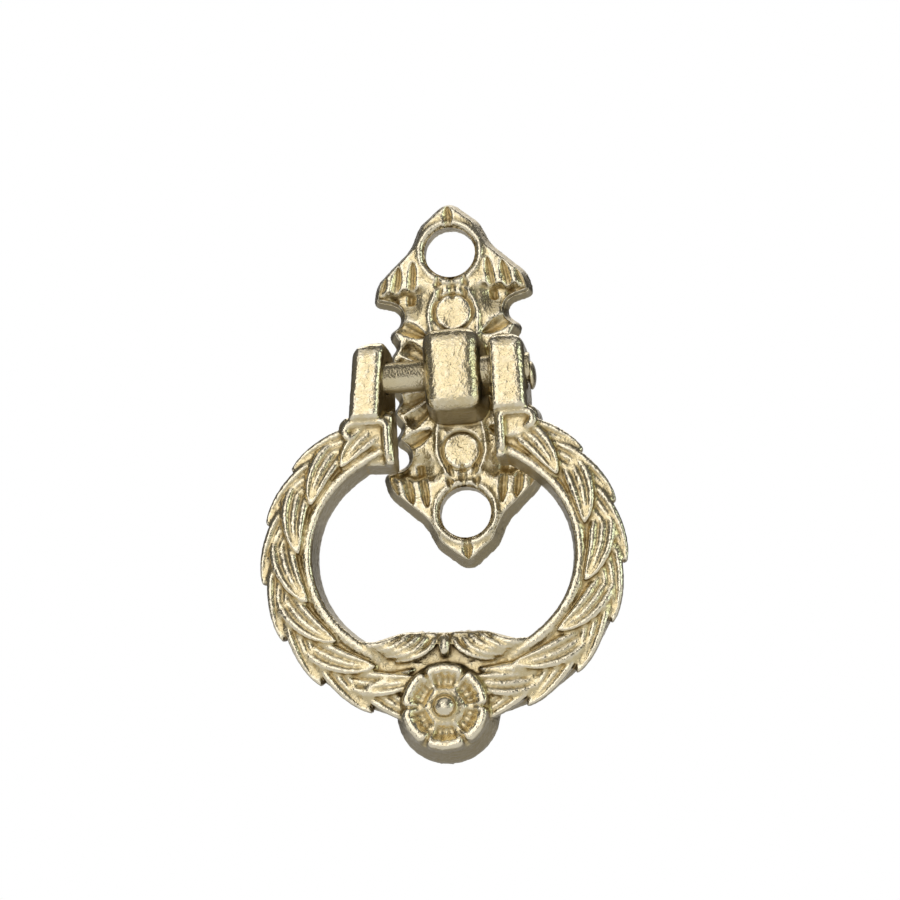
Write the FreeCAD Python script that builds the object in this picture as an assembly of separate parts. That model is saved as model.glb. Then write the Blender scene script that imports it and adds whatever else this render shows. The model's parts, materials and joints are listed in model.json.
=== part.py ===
import FreeCAD, Part
import math
import os

# Ring pull handle for a drawer or cabinet door, cast in plated zinc: a leaf-shaped backplate
# with a pivot post, a laurel-wreath ring with two ears, and the pin that joins them.
#
# Frame: X to the right, Z up, and the handle's front faces -Y. The mounting surface is the
# plane Y = 0, and the origin is the middle of the backplate's flat back, level with the pin.
# A "depth" below is a distance in front of that surface. All sizes are in millimetres.

# Driving dimensions of the backplate.
HOLE_SPACING = 25.0            # between the two screw holes
HOLE_RADIUS = 2.4
HOLE_RIM_ROUND = 0.35
PLATE_THICKNESS = 2.2
PLATE_DRAFT = 0.65             # how far the edge leans in from back to front
TIP_RISE = 5.5                 # hole's centre out to the arrow's point, before it is rounded
BARB_WIDTH = 7.75              # half the width across the barbs, before they are rounded
BARB_DROP = 4.4                # hole's centre in to the barbs' corners
WAIST_WIDTH = 3.7              # half the width of the waist behind the barbs
WAIST_DROP = 5.5
LOBE_REACH = 6.7               # centre to the tip of a petal along the side, before rounding
LOBE_DEPTH = 0.95              # from there in to the notch between two petals
LOBE_PITCH = HOLE_SPACING * 0.104
PAD_RADIUS = 1.7               # the round ejector pads above and below the post
PAD_MARGIN = 0.8               # between a pad and the post
PAD_RISE = 0.12
VEIN_DEPTH = 0.45              # the cut veins of the barbs and petals
VEIN_WIDTH = 0.95

# Driving dimensions of the pivot.
PIN_RADIUS = 1.4
PIN_DEPTH = 5.9                # pin axis in front of the mounting surface
PIN_CLEARANCE = 0.05           # round the pin, in the post and in the ears
PIN_HEAD_RADIUS = 1.75
PIN_DOME_HEIGHT = 0.6          # the peened head that shows at the right ear
PIN_SUNK_HEAD = 0.5            # the flush head in the left ear
POST_WIDTH = 5.9               # at the mounting surface
POST_HEIGHT = 8.3              # at the mounting surface
POST_SIDE_DRAFT = 0.35
POST_END_DRAFT = 0.5
POST_NOSE = 2.9                # post's front face beyond the pin axis
POST_NOSE_ROUND = 1.5
POST_EDGE_ROUND = 0.8

# Driving dimensions of the ring.
RING_WIDTH = 33.6              # over the plain rim, without the leaf tips
RING_HEIGHT = 30.4
RING_CENTRE = 17.6             # pin axis down to the centre of the outer curve
RING_SIDE_RADIUS = 14.7
RING_BACK = 3.9                # depth of the ring's flat back
RING_THICKNESS = 3.2           # back to the sunk face that the leaves stand on
RING_DRAFT = 0.9
OPENING_WIDTH = 23.6           # finger opening, at the back
OPENING_HEIGHT = 20.1
OPENING_CENTRE = 17.1          # pin axis down to the centre of the opening
OPENING_SIDE_RADIUS = 8.9
OPENING_DRAFT = 0.5
BEAD_WIDTH = 0.75              # the plain moulding round the opening
BEAD_RISE = 0.3
BEAD_BEVEL = 0.2
WREATH_LEAN = 2.5              # degrees that the wreath hangs to the left of its ears
EAR_GAP = 9.2                  # between the ears, at the back
EAR_WIDTH = 3.6                # at the back
EAR_TOP = 3.1                  # above the pin axis
EAR_HALF_DEPTH = 2.6           # in front of the pin axis and behind it
EAR_FOOT = 3.5                 # below the pin axis
EAR_DRAFT = 0.4                # on the inner face
EAR_ROUND = 1.5
EAR_EDGE_ROUND = 0.4
SLACK = 0.5                    # right ear to post: the ring lies to the left on its pin

# Driving dimensions of the ornament.
VOLUTE_WIDTH = 4.9
VOLUTE_TOP = 3.1               # below the pin axis
VOLUTE_FOOT = 8.8
VOLUTE_ROUND = 1.3
SCROLL_WIDTH = 0.6             # the volute's raised moulding
SCROLL_RISE = 0.35
SCROLL_CURL = 1.1              # outer radius of its curled end
INNER_LEAVES = 6               # on each side of the wreath
OUTER_LEAVES = 7
# Degrees from the top of the wreath to the first leaf's tip, and from each tip to the next.
LEFT_INNER_TIPS = (68.3, 20.0)
RIGHT_INNER_TIPS = (56.5, 23.0)
LEFT_OUTER_TIPS = (58.0, 19.2)
RIGHT_OUTER_TIPS = (53.0, 19.7)
LEAF_SWEEP = 34.0              # degrees that one leaf covers, root to tip
LEAF_SPREAD = 0.52             # a leaf's width as a share of the wreath's
LEAF_RISE = 0.65               # a leaf's crest over the sunk face
FLOWER_DROP = 31.5             # pin axis down to the flower's centre
FLOWER_RADIUS = 4.15           # over the petal tips, at the front
FLOWER_DRAFT = 0.85
FLOWER_DEPTH = 4.9             # petal rims over the ring's back
PETALS = 6
PETAL_RADIUS = 1.75
PETAL_DISH = 0.5
BUTTON_RADIUS = 1.7
BUTTON_DOME = 1.0
PALMETTE_LOBES = 5             # on each side of the bud
LOBE_SPACING = 0.98
PALMETTE_TOP = 7.6             # flower's centre up to the lobes' tips
PALMETTE_WIDTH = 15.4          # over the web behind the lobes, before it is rounded

FACE = RING_BACK + RING_THICKNESS
EAR_BACK = PIN_DEPTH - EAR_HALF_DEPTH
EAR_FRONT = PIN_DEPTH + EAR_HALF_DEPTH
BORE_RADIUS = PIN_RADIUS + PIN_CLEARANCE
PAD_OFFSET = POST_HEIGHT / 2 + PAD_MARGIN + PAD_RADIUS
RING_SHIFT = POST_WIDTH / 2 + SLACK - EAR_GAP / 2
BURIED = 0.7                   # how deep an ornament's foot is sunk in the metal behind it
BEYOND = 1.0                   # how far a cutting tool runs past what it cuts
SIDES = (-1, 1)


def at(x, z, depth):
    return FreeCAD.Vector(x, -depth, z)


def unit(u, v):
    size = math.hypot(u, v)
    return u / size, v / size


def rounded(corners, place, inset=0.0):
    """Closed wire of straight runs and tangent arcs. corners are (u, v, radius) in order to the
    left, inset moves the whole line inwards, and place turns a (u, v) into a point in space."""
    count = len(corners)
    runs = []
    for i, (u0, v0, _) in enumerate(corners):
        u1, v1, _ = corners[(i + 1) % count]
        du, dv = unit(u1 - u0, v1 - v0)
        runs.append((u0 - dv * inset, v0 + du * inset, du, dv))
    arcs = []
    for i in range(count):
        au, av, adu, adv = runs[i - 1]
        bu, bv, bdu, bdv = runs[i]
        turn = adu * bdv - adv * bdu
        along = ((bu - au) * bdv - (bv - av) * bdu) / turn
        cu, cv = au + adu * along, av + adv * along
        radius = max(corners[i][2] - math.copysign(inset, turn), 0.08)
        half = math.atan2(abs(turn), adu * bdu + adv * bdv) / 2
        reach = radius * math.tan(half)
        sag = radius / math.cos(half) - radius
        inu, inv = unit(bdu - adu, bdv - adv)
        arcs.append((place(cu - adu * reach, cv - adv * reach), place(cu + inu * sag, cv + inv * sag),
                     place(cu + bdu * reach, cv + bdv * reach)))
    edges = []
    for i in range(count):
        edges.append(Part.Arc(*arcs[i]).toShape())
        edges.append(Part.makeLine(arcs[i][2], arcs[(i + 1) % count][0]))
    return Part.Wire(edges)


def across(corners, x0, x1):
    """Bar along X, from x0 to x1, whose side view is a rounded outline in (depth, z)."""
    wire = rounded(corners, lambda depth, z: at(x0, z, depth))
    return Part.Face(wire).extrude(FreeCAD.Vector(x1 - x0, 0, 0))


def upright(corners, z0, z1):
    """Bar along Z, from z0 to z1, whose plan view is a rounded outline in (x, depth)."""
    wire = rounded(corners, lambda x, depth: at(x, z0, depth))
    return Part.Face(wire).extrude(FreeCAD.Vector(0, 0, z1 - z0))


def rod(radius, x0, x1):
    """Cylinder on the pin's axis."""
    return Part.makeCylinder(radius, x1 - x0, at(x0, 0, PIN_DEPTH), FreeCAD.Vector(1, 0, 0))


def stud(radius, front_radius, x, z, depth, height):
    """Cylinder or cone that stands on a depth and points to the front."""
    forward = FreeCAD.Vector(0, -1, 0)
    if radius == front_radius:
        return Part.makeCylinder(radius, height, at(x, z, depth), forward)
    return Part.makeCone(radius, front_radius, height, at(x, z, depth), forward)


def dome(radius, height, x, z, depth):
    """Cap of a sphere that rises by height from a circle at the given depth."""
    ball = (radius ** 2 + height ** 2) / (2 * height)
    sphere = Part.makeSphere(ball, at(x, z, depth + height - ball))
    return sphere.common(stud(radius * 2, radius * 2, x, z, depth, height * 2))


def flat_sided(sections):
    """Solid whose sides join the like corners of one section to the next, in flat triangles."""
    faces = [Part.Face(Part.makePolygon(section + section[:1])) for section in (sections[0], sections[-1])]
    for first, second in zip(sections, sections[1:]):
        for i in range(len(first)):
            j = (i + 1) % len(first)
            for corners in ((first[i], first[j], second[j]), (first[i], second[j], second[i])):
                faces.append(Part.Face(Part.makePolygon(corners + corners[:1])))
    shell = Part.makeShell(faces)
    shell.sewShape()
    solid = Part.Solid(shell)
    if solid.Volume < 0:
        solid.reverse()
    return solid


def gouge(x, z, depth, angle, length, width=VEIN_WIDTH, sink=VEIN_DEPTH):
    """Cutter for a leaf-shaped vein: a flat pyramid with its point in the metal. angle turns
    it from +X towards +Z."""
    along = FreeCAD.Vector(math.cos(math.radians(angle)), 0, math.sin(math.radians(angle)))
    aside = along.cross(FreeCAD.Vector(0, 1, 0))
    middle = at(x, z, depth)
    above = FreeCAD.Vector(0, -sink, 0)
    rim = [middle + along * (length / 2 * u) + aside * (width / 2 * v)
           for u, v in ((1, 0), (0.25, 1), (-0.5, 0.8), (-1, 0), (-0.5, -0.8), (0.25, -1))]
    point = middle - above
    mouth = [middle + (corner - middle) * 2 + above for corner in rim]
    faces = [Part.Face(Part.makePolygon(mouth + mouth[:1]))]
    for i, corner in enumerate(mouth):
        following = mouth[(i + 1) % len(mouth)]
        faces.append(Part.Face(Part.makePolygon([point, corner, following, point])))
    shell = Part.makeShell(faces)
    shell.sewShape()
    return Part.Solid(shell)


def joined(shapes):
    first, *rest = shapes
    return first.multiFuse(rest).removeSplitter()


def plate_outline():
    """Arrow-shaped leaf, the same above and below and on both sides."""
    notch = LOBE_REACH - LOBE_DEPTH
    hole = HOLE_SPACING / 2
    quarter = [(notch, LOBE_PITCH * 0.5, 0.25),
               (LOBE_REACH, LOBE_PITCH, 0.8),
               (notch, LOBE_PITCH * 1.5, 0.25),
               (LOBE_REACH - 0.1, LOBE_PITCH * 2 + 0.1, 0.8),
               (WAIST_WIDTH, hole - WAIST_DROP, 0.95),
               (BARB_WIDTH, hole - BARB_DROP, 0.75),
               (BARB_WIDTH - 0.6, hole - 2.1, 2.2),
               (HOLE_RADIUS + 1.35, hole + 1.2, 2.2),
               (HOLE_RADIUS + 0.3, hole + 3.4, 1.4)]
    half = [(LOBE_REACH, 0, 0.8)] + quarter + [(0, hole + TIP_RISE, 1.4)]
    other = [(-x, z, r) for x, z, r in reversed(half[:-1])]
    upper = half + other
    lower = [(-x, -z, r) for x, z, r in upper[1:-1]]
    return upper + lower


def make_backplate():
    corners = plate_outline()
    back = rounded(corners, lambda x, z: at(x, z, 0))
    front = rounded(corners, lambda x, z: at(x, z, PLATE_THICKNESS), PLATE_DRAFT)
    body = Part.makeLoft([back, front], True, True)
    for side in SIDES:
        hole_z = side * HOLE_SPACING / 2
        rim = HOLE_RADIUS + HOLE_RIM_ROUND
        body = body.cut(stud(HOLE_RADIUS, HOLE_RADIUS, 0, hole_z, -BEYOND,
                             PLATE_THICKNESS + 2 * BEYOND))
        body = body.cut(stud(HOLE_RADIUS, rim + HOLE_RIM_ROUND, 0, hole_z,
                             PLATE_THICKNESS - HOLE_RIM_ROUND, 2 * HOLE_RIM_ROUND))
    body = body.cut(Part.makeCompound(plate_veins()))
    post = make_post()
    pads = [stud(PAD_RADIUS, PAD_RADIUS, 0, side * PAD_OFFSET, PLATE_THICKNESS - BURIED,
                 BURIED + PAD_RISE) for side in SIDES]
    return joined([body, post] + pads).cut(rod(BORE_RADIUS, -POST_WIDTH, POST_WIDTH))


def plate_veins():
    """Two veins in each barb, one at each point, one beside each pad, and the grooves that
    part the petals along the sides."""
    hole = HOLE_SPACING / 2
    face = PLATE_THICKNESS
    cuts = []
    for up in SIDES:
        cuts.append(gouge(0, up * (hole + 3.7), face, 90, 1.8))
        for side in SIDES:
            cuts.append(gouge(side * 4.15, up * (hole - 2.6), face, 90 - up * side * 6, 3.6))
            cuts.append(gouge(side * 5.75, up * (hole - 3.1), face, 90 - up * side * 12, 2.4))
            cuts.append(gouge(side * 1.95, up * (hole - 4.3), face, 90 + up * side * 12, 3.0, 0.5, 0.22))
            for step in (0.5, 1.5):
                z = up * step * LOBE_PITCH
                lean = math.degrees(math.atan2(z, LOBE_REACH)) * side
                cuts.append(gouge(side * 5.3, z, face, lean, 4.6, 0.9))
    return cuts


def make_post():
    nose = PIN_DEPTH + POST_NOSE
    half = POST_HEIGHT / 2
    side_view = across([(0, half, 0.1), (0, -half, 0.1),
                        (nose, -half + POST_END_DRAFT, POST_NOSE_ROUND),
                        (nose, half - POST_END_DRAFT, POST_NOSE_ROUND)], -POST_WIDTH, POST_WIDTH)
    wide = POST_WIDTH / 2
    plan = upright([(-wide, 0, 0.1), (wide, 0, 0.1),
                    (wide - POST_SIDE_DRAFT, nose, POST_EDGE_ROUND),
                    (-wide + POST_SIDE_DRAFT, nose, POST_EDGE_ROUND)], -POST_HEIGHT, POST_HEIGHT)
    return side_view.common(plan)


class Oval:
    """Four tangent arcs, drop below the pin axis. grow moves the whole line outwards."""

    def __init__(self, width, height, side_radius, drop, grow=0.0):
        self.aside = width / 2 - side_radius
        shoulder = height / 2 - side_radius
        self.rise = (self.aside ** 2 - shoulder ** 2) / (2 * shoulder)
        self.lean = math.atan2(self.aside, self.rise)
        self.side = side_radius + grow
        self.cap = height / 2 + self.rise + grow
        self.drop = drop

    def wire(self, depth):
        knee_x = self.aside + self.side * math.sin(self.lean)
        knee_z = self.side * math.cos(self.lean)
        top, wide = self.cap - self.rise, self.aside + self.side
        stops = [(knee_x, -knee_z), (wide, 0), (knee_x, knee_z), (0, top), (-knee_x, knee_z),
                 (-wide, 0), (-knee_x, -knee_z), (0, -top)]
        points = [at(x, z - self.drop, depth) for x, z in stops]
        return Part.Wire([Part.Arc(points[i], points[i + 1], points[(i + 2) % 8]).toShape()
                          for i in range(0, 8, 2)])

    def point(self, angle):
        """Point of the line at an angle from the top, seen from its centre."""
        ux, uz = abs(math.sin(angle)), abs(math.cos(angle))
        reach = math.sqrt(self.cap ** 2 - (self.rise * ux) ** 2) - self.rise * uz
        if ux * reach > self.aside + self.side * math.sin(self.lean):
            reach = self.aside * ux + math.sqrt(self.side ** 2 - (self.aside * uz) ** 2)
        return math.sin(angle) * reach, math.cos(angle) * reach - self.drop


OUTER = Oval(RING_WIDTH, RING_HEIGHT, RING_SIDE_RADIUS, RING_CENTRE)
INNER = Oval(OPENING_WIDTH, OPENING_HEIGHT, OPENING_SIDE_RADIUS, OPENING_CENTRE, OPENING_DRAFT)


def across_band(angle, share):
    """Point in the wreath's face: share is 0 at the opening and 1 at the outer line."""
    ix, iz = INNER.point(angle)
    ox, oz = OUTER.point(angle)
    return ix + (ox - ix) * share, iz + (oz - iz) * share


def band_width(angle):
    return math.dist(across_band(angle, 0), across_band(angle, 1))


def blade(path, widths, rises, foot):
    """Leaf with a crest along its middle: straight-sided sections set square to the path.
    foot is the depth of its buried base, and rises are the crest's depths."""
    sections = []
    for i, (x, z) in enumerate(path):
        x0, z0 = path[max(i - 1, 0)]
        x1, z1 = path[min(i + 1, len(path) - 1)]
        dx, dz = unit(x1 - x0, z1 - z0)
        half = widths[i] / 2
        edge = foot + (rises[i] - foot) * 0.45
        left = (x - dz * half, z + dx * half)
        right = (x + dz * half, z - dx * half)
        sections.append([at(*left, foot), at(*left, edge), at(x, z, rises[i]),
                         at(*right, edge), at(*right, foot)])
    return flat_sided(sections)


def leaf_row(side, tips, count, start, end):
    """Overlapping leaves down one side of the wreath. start and end are shares of its width."""
    leaves = []
    first, pitch = tips
    for i in range(count):
        tip = first + pitch * i
        path, widths, rises = [], [], []
        for share, width, rise in ((0, 0.5, 0.0), (0.45, 1.0, 0.7), (0.8, 0.75, 1.0), (1.0, 0.16, 0.85)):
            angle = math.radians(tip - LEAF_SWEEP * (1 - share)) * side
            path.append(across_band(angle, start + (end - start) * share ** 1.5))
            widths.append(LEAF_SPREAD * band_width(angle) * width)
            rises.append(FACE + LEAF_RISE * rise)
        leaves.append(blade(path, widths, rises, FACE - BURIED))
    return leaves


def make_band():
    """The wreath's plain body, cut away between the ears, with the moulding round its opening."""
    back = OUTER.wire(RING_BACK)
    front = Oval(RING_WIDTH, RING_HEIGHT, RING_SIDE_RADIUS, RING_CENTRE, -RING_DRAFT).wire(FACE)
    body = Part.makeLoft([back, front], True, True)
    reach = OPENING_DRAFT * (RING_THICKNESS + BEYOND) / RING_THICKNESS
    short = -OPENING_DRAFT * BEYOND / RING_THICKNESS
    crest = FACE + BEAD_RISE
    rim = OPENING_DRAFT * (crest - RING_BACK) / RING_THICKNESS
    bead = opening_block((rim + BEAD_WIDTH, FACE - BURIED), (rim + BEAD_WIDTH - BEAD_BEVEL, crest))
    opening = opening_block((short, RING_BACK - BEYOND), (reach, FACE + BEYOND))
    bevel = opening_block((rim - BEAD_BEVEL, crest - 2 * BEAD_BEVEL), (rim + BEAD_BEVEL, crest))
    gap = EAR_GAP + EAR_WIDTH
    window = Part.makeBox(gap, RING_THICKNESS * 4, VOLUTE_FOOT,
                          at(-gap / 2, -VOLUTE_FOOT + BEYOND, RING_BACK + RING_THICKNESS * 2))
    return [body.fuse(bead).cut(opening).cut(bevel).cut(window)]


def opening_block(*levels):
    """Tapered block with the opening's outline, grown as each (grow, depth) says."""
    return Part.makeLoft([Oval(OPENING_WIDTH, OPENING_HEIGHT, OPENING_SIDE_RADIUS, OPENING_CENTRE,
                               grow).wire(depth) for grow, depth in levels], True, True)


def make_flower():
    """Six cupped petals on a tapered base, round a domed button."""
    rim = RING_BACK + FLOWER_DEPTH
    shapes = [stud(FLOWER_RADIUS, FLOWER_RADIUS - PETAL_RADIUS, 0, -FLOWER_DROP, RING_BACK,
                   FLOWER_DEPTH - PETAL_DISH)]
    dishes = []
    for i in range(PETALS):
        angle = math.pi * (0.5 + 2 * i / PETALS)
        x = (FLOWER_RADIUS - PETAL_RADIUS) * math.cos(angle)
        z = (FLOWER_RADIUS - PETAL_RADIUS) * math.sin(angle) - FLOWER_DROP
        shapes.append(stud(PETAL_RADIUS + FLOWER_DRAFT, PETAL_RADIUS, x, z, RING_BACK, FLOWER_DEPTH))
        dish = PETAL_RADIUS * 0.85
        ball = (dish ** 2 + PETAL_DISH ** 2) / (2 * PETAL_DISH)
        dishes.append(Part.makeSphere(ball, at(x, z, rim + ball - PETAL_DISH)))
    petals = joined(shapes).cut(Part.makeCompound(dishes))
    button = stud(BUTTON_RADIUS, BUTTON_RADIUS, 0, -FLOWER_DROP, RING_BACK + BURIED,
                  FLOWER_DEPTH - BURIED - PETAL_DISH * 0.4)
    knob = dome(BUTTON_DOME, BUTTON_DOME * 0.6, 0, -FLOWER_DROP, rim - PETAL_DISH * 0.4)
    return [petals, button, knob]


def make_palmette():
    """Curved lobes that rise from the wreath to a bud over the flower."""
    top = -FLOWER_DROP + PALMETTE_TOP
    foot = RING_BACK + BURIED
    wide = PALMETTE_WIDTH / 2
    corners = [(-wide, top - 2.2, 1.0), (0, top - 5.5, 3.0), (wide, top - 2.2, 1.0),
               (wide * 0.62, top - 0.45, 3.0), (-wide * 0.62, top - 0.45, 3.0)]
    shapes = [Part.makeLoft([rounded(corners, lambda x, z: at(x, z, foot)),
                             rounded(corners, lambda x, z: at(x, z, FACE), OPENING_DRAFT)],
                            True, True)]
    for side in SIDES:
        for i in range(PALMETTE_LOBES):
            tip = 0.9 + LOBE_SPACING * i
            path = [(side * (tip + x), top - 0.06 * i * i + z)
                    for x, z in ((0, 0), (0.5, -1.2), (1.5, -2.0), (2.7, -2.3))]
            shapes.append(blade(path, (0.5, 1.15, 1.25, 0.9),
                                [FACE + rise for rise in (-0.2, 0.4, 0.5, 0.2)], foot))
    bud = blade([(0, top), (0, top - 0.9), (0, top - 2.2), (0, top - 3.4)],
                (0.7, 1.5, 1.5, 0.9), [FACE + rise for rise in (-0.2, 0.6, 0.8, 0.2)], foot)
    return shapes + [bud]


def make_ear(side):
    """One ear, outlined in side view and in plan, with its own drafts."""
    inner, outer = EAR_GAP / 2, EAR_GAP / 2 + EAR_WIDTH
    side_view = across([(EAR_BACK, EAR_TOP, EAR_ROUND), (EAR_BACK, -EAR_TOP, EAR_ROUND),
                        (FACE, -EAR_FOOT - 1, 0.2), (EAR_FRONT, -EAR_FOOT, EAR_ROUND),
                        (EAR_FRONT, EAR_TOP, EAR_ROUND)], -2 * outer, 2 * outer)
    plan = [(inner, EAR_BACK, 0.1), (outer, EAR_BACK, 0.1), (outer, EAR_FRONT, EAR_EDGE_ROUND),
            (inner + EAR_DRAFT, EAR_FRONT, EAR_EDGE_ROUND)]
    if side < 0:
        plan = [(-x, depth, r) for x, depth, r in reversed(plan)]
    return side_view.common(upright(plan, -2 * VOLUTE_FOOT, 2 * EAR_TOP))


def make_volute(side):
    """Block under an ear, with a raised scroll round its face."""
    inner, outer = EAR_GAP / 2, EAR_GAP / 2 + VOLUTE_WIDTH
    corners = [(inner, -VOLUTE_FOOT, 0.4), (outer, -VOLUTE_FOOT, VOLUTE_ROUND),
               (outer, -VOLUTE_TOP, VOLUTE_ROUND), (inner, -VOLUTE_TOP, 0.4)]
    if side < 0:
        corners = [(-x, z, r) for x, z, r in reversed(corners)]
    back = rounded(corners, lambda x, z: at(x, z, RING_BACK))
    front = rounded(corners, lambda x, z: at(x, z, FACE), EAR_DRAFT)
    block = Part.makeLoft([back, front], True, True)
    left, right = inner + EAR_DRAFT, inner + EAR_DRAFT + 2.6
    top, low = -VOLUTE_TOP - EAR_DRAFT, -VOLUTE_FOOT + EAR_DRAFT
    scroll = [raised_bar(side, left, left + SCROLL_WIDTH, low, top),
              raised_bar(side, left, right, top - SCROLL_WIDTH, top),
              raised_bar(side, left, left + 2.2, low, low + SCROLL_WIDTH)]
    curl = stud(SCROLL_CURL, SCROLL_CURL - SCROLL_RISE / 2, side * right, top - SCROLL_CURL,
                FACE - BURIED, BURIED + SCROLL_RISE)
    eye = SCROLL_CURL - SCROLL_WIDTH
    curl = curl.cut(stud(eye, eye + SCROLL_RISE / 2, side * right, top - SCROLL_CURL, FACE,
                         SCROLL_RISE + BEYOND))
    inside = min(side * left, side * right)
    curl = curl.cut(Part.makeBox(right - left, EAR_FRONT, 4 * SCROLL_CURL,
                                 at(inside, top - 3 * SCROLL_CURL, 2 * FACE)))
    return [block, curl] + scroll


def raised_bar(side, x0, x1, z0, z1):
    """Straight moulding on the volute's face, with sloping sides."""
    slope = SCROLL_RISE / 3
    levels = []
    for inset, depth in ((0, FACE - BURIED), (slope, FACE + SCROLL_RISE)):
        corners = [at(side * x, z, depth) for x, z in ((x0 + inset, z0 + inset), (x1 - inset, z0 + inset),
                                                       (x1 - inset, z1 - inset), (x0 + inset, z1 - inset))]
        levels.append(Part.makePolygon(corners + corners[:1]))
    return Part.makeLoft(levels, True, True)


def make_ring():
    wreath = make_band() + make_flower() + make_palmette()
    for side, inner_tips, outer_tips in ((-1, LEFT_INNER_TIPS, LEFT_OUTER_TIPS),
                                         (1, RIGHT_INNER_TIPS, RIGHT_OUTER_TIPS)):
        wreath += leaf_row(side, outer_tips, OUTER_LEAVES, 0.5, 1.04)
        wreath += leaf_row(side, inner_tips, INNER_LEAVES, 0.62, 0.24)
    for shape in wreath:
        shape.rotate(FreeCAD.Vector(0, 0, 0), FreeCAD.Vector(0, 1, 0), WREATH_LEAN)
    ends = []
    for side in SIDES:
        ends.append(make_ear(side))
        ends += make_volute(side)
    passage = Part.makeBox(EAR_GAP, EAR_FRONT + BEYOND, EAR_TOP + VOLUTE_FOOT,
                           at(-EAR_GAP / 2, -VOLUTE_FOOT, EAR_FRONT + BEYOND))
    ring = joined(ends + wreath).cut(passage)
    outer = EAR_GAP / 2 + EAR_WIDTH
    seat = outer - PIN_SUNK_HEAD - PIN_CLEARANCE
    ring = ring.cut(rod(BORE_RADIUS, -2 * outer, 2 * outer))
    sink = Part.makeCone(BORE_RADIUS, PIN_HEAD_RADIUS + PIN_CLEARANCE, PIN_SUNK_HEAD + PIN_CLEARANCE,
                         at(-seat, 0, PIN_DEPTH), FreeCAD.Vector(-1, 0, 0))
    ring = ring.cut(sink)
    ring.translate(FreeCAD.Vector(RING_SHIFT, 0, 0))
    return ring


def make_hinge_pin():
    """Rod with a sunk head in the left ear and a peened dome outside the right one."""
    outer = EAR_GAP / 2 + EAR_WIDTH
    seat = outer + PIN_CLEARANCE
    body = rod(PIN_RADIUS, -outer, seat)
    head = Part.makeCone(PIN_RADIUS, PIN_HEAD_RADIUS, PIN_SUNK_HEAD,
                         at(-outer + PIN_SUNK_HEAD, 0, PIN_DEPTH), FreeCAD.Vector(-1, 0, 0))
    ball = (PIN_HEAD_RADIUS ** 2 + PIN_DOME_HEIGHT ** 2) / (2 * PIN_DOME_HEIGHT)
    cap = Part.makeSphere(ball, at(seat + PIN_DOME_HEIGHT - ball, 0, PIN_DEPTH))
    cap = cap.common(rod(PIN_HEAD_RADIUS * 2, seat, seat + PIN_DOME_HEIGHT * 2))
    pin = joined([body, head, cap])
    pin.translate(FreeCAD.Vector(RING_SHIFT, 0, 0))
    return pin


def main():
    os.makedirs("parts", exist_ok=True)
    make_backplate().exportStep("parts/backplate.step")
    make_ring().exportStep("parts/ring.step")
    make_hinge_pin().exportStep("parts/hinge_pin.step")


main()
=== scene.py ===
"""Ring pull handle: the finished look of its backplate, hinge pin and laurel-wreath ring.

Lengths in the code are millimetres in the handle's own frame: X to the right, Z up, and a depth
counts forwards from the mounting surface, towards -Y. Each piece is scaled to metres at its end.
"""
import json
import math

import bmesh
import bpy
from mathutils import Matrix, Vector, noise


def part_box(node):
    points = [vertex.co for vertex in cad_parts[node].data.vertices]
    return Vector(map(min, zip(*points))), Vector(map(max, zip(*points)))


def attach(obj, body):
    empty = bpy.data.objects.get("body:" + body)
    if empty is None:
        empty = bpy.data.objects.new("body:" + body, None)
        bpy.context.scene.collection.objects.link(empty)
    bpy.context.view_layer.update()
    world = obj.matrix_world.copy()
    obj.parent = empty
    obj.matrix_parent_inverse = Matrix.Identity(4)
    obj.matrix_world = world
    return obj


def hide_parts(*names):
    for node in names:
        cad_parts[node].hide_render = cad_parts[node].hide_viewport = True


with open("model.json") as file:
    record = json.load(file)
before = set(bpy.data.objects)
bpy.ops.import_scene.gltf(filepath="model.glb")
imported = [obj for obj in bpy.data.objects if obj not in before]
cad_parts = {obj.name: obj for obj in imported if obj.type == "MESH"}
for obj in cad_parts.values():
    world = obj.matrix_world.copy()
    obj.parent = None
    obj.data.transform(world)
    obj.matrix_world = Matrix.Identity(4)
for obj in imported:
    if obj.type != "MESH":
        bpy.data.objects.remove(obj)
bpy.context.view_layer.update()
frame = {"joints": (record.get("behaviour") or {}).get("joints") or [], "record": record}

bl_info = {
    "name": "Ring Pull Handle",
    "version": (1, 0, 0),
    "blender": (4, 5, 0),
    "location": "View3D > Sidebar > Handle",
    "description": "Cast backplate, hinge pin and wreath ring of a drawer pull, with its stage",
    "category": "Object",
}

MM = 0.001
SWING = next(joint for joint in frame["joints"] if joint["name"] == "ring_swing")
HOLES = next(mount for mount in frame["record"]["mounts"] if mount["name"] == "screw_holes")
PIN_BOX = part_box("hinge_pin")
PLATE_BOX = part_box("backplate")
PIN_DEPTH = -SWING["pos_m"][1] / MM
BORE_RADIUS = 1.5
SIDES = (-1, 1)

PIECE_TRIANGLES = 150000
RING_TRIANGLES = 196000
LUMP_HEIGHT = 0.08
SETTLING_PASSES = 28    # smoothing that a point's own surroundings are read from
RELIEF_SPAN = 0.22      # height between the lowest hollow and the highest crest that count
TURNED_RELIEF = 0.56    # all over a turned piece and a ground back, a little over level
WHITE = (1, 1, 1, 1)


def length(name, millimetres, description):
    return bpy.props.FloatProperty(name=name, description=description, default=millimetres * MM,
                                   unit="LENGTH", precision=5)


def number(name, default, description):
    return bpy.props.FloatProperty(name=name, description=description, default=default)


def colour(name, default, description):
    return bpy.props.FloatVectorProperty(name=name, description=description, default=default,
                                         subtype="COLOR", min=0.0, max=1.0)


def turn(name, degrees, description):
    return bpy.props.FloatProperty(name=name, description=description,
                                   default=math.radians(degrees), subtype="ANGLE")


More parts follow.
